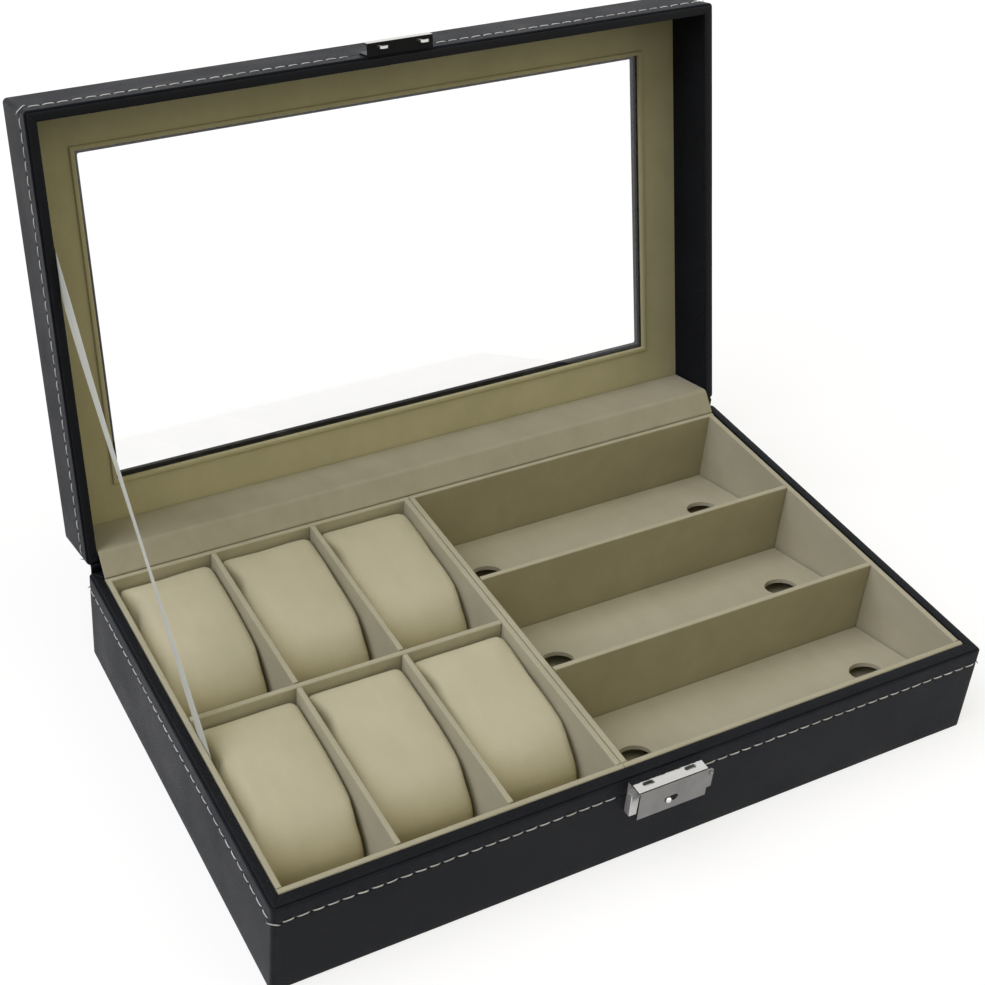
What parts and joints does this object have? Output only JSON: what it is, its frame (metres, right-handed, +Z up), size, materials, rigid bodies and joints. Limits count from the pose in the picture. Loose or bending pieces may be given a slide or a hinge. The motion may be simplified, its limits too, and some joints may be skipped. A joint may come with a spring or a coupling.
{
  "type": "watch and glasses box",
  "caption": "Leather-covered display case with a hinged window lid, a tray of cells with watch pillows and a tray of sloped rests for glasses, closed by a slide latch.",
  "frame": {"origin": "centre of the base's underside, on the surface the box stands on", "axes": "+X along the long side towards the glasses tray, +Y from the latch to the hinge, +Z up"},
  "size_m": [0.335, 0.2937, 0.2522],
  "materials": {
    "board": "satin",
    "leather": "pebbled, low sheen",
    "trim": "smooth rolled edge",
    "felt": "felt",
    "velvet": "short velvet nap",
    "pillow": "velvet nap over soft padding",
    "ribbon": "satin weave",
    "glass": "clear",
    "metal": "polished"
  },
  "bodies": {
    "base": {"bottom_board": "board", "front_board": "board", "rear_board": "board", "left_board": "board", "right_board": "board", "base_leather": "leather", "hinge_leather": "leather", "base_rim_trim": "trim", "base_felt": "felt", "watch_tray_floor": "velvet", "watch_tray_front_wall": "velvet", "watch_tray_rear_wall": "velvet", "watch_tray_left_wall": "velvet", "watch_tray_right_wall": "velvet", "glasses_tray_floor": "velvet", "glasses_tray_front_wall": "velvet", "glasses_tray_rear_wall": "velvet", "glasses_tray_left_wall": "velvet", "glasses_tray_right_wall": "velvet", "row_divider": "velvet", "column_divider_front_left": "velvet", "column_divider_front_middle": "velvet", "column_divider_rear_left": "velvet", "column_divider_rear_middle": "velvet", "glasses_divider_front": "velvet", "glasses_divider_rear": "velvet", "glasses_rest_front": "velvet", "glasses_rest_middle": "velvet", "glasses_rest_rear": "velvet", "hinge_lining": "velvet", "stay_ribbon": "ribbon", "latch_case": "metal", "latch_post": "metal", "latch_rivets": "metal"},
    "latch_slide": {"latch_cover": "metal", "latch_hook_plate": "metal"},
    "lid": {"lid_top_board": "board", "lid_front_board": "board", "lid_rear_board": "board", "lid_left_board": "board", "lid_right_board": "board", "glass_packing": "board", "lid_leather": "leather", "lid_top_leather": "leather", "lid_lining": "leather", "lid_rim_trim": "trim", "lid_panel": "velvet", "window_bead": "velvet", "window_glass": "glass", "lid_catch": "metal", "catch_rivets": "metal"},
    "pillow_front_left": {"watch_pillow_front_left": "pillow"},
    "pillow_front_middle": {"watch_pillow_front_middle": "pillow"},
    "pillow_front_right": {"watch_pillow_front_right": "pillow"},
    "pillow_rear_left": {"watch_pillow_rear_left": "pillow"},
    "pillow_rear_middle": {"watch_pillow_rear_middle": "pillow"},
    "pillow_rear_right": {"watch_pillow_rear_right": "pillow"}
  },
  "joints": [
    {"name": "lid_hinge", "type": "hinge", "parent": "base", "child": "lid", "pos_m": [0, 0.1025, 0.048], "axis": [-1, 0, 0], "range_deg": [-104, 0], "deforming": ["hinge_leather", "hinge_lining", "stay_ribbon"]},
    {"name": "latch_push", "type": "slide", "parent": "base", "child": "latch_slide", "axis": [1, 0, 0], "range_m": [-0.0032, 0]},
    {"name": "lift_front_left", "type": "slide", "parent": "base", "child": "pillow_front_left", "axis": [0, 0, 1], "range_m": [0, 0.05]},
    {"name": "lift_front_middle", "type": "slide", "parent": "base", "child": "pillow_front_middle", "axis": [0, 0, 1], "range_m": [0, 0.05]},
    {"name": "lift_front_right", "type": "slide", "parent": "base", "child": "pillow_front_right", "axis": [0, 0, 1], "range_m": [0, 0.05]},
    {"name": "lift_rear_left", "type": "slide", "parent": "base", "child": "pillow_rear_left", "axis": [0, 0, 1], "range_m": [0, 0.05]},
    {"name": "lift_rear_middle", "type": "slide", "parent": "base", "child": "pillow_rear_middle", "axis": [0, 0, 1], "range_m": [0, 0.05]},
    {"name": "lift_rear_right", "type": "slide", "parent": "base", "child": "pillow_rear_right", "axis": [0, 0, 1], "range_m": [0, 0.05]}
  ]
}
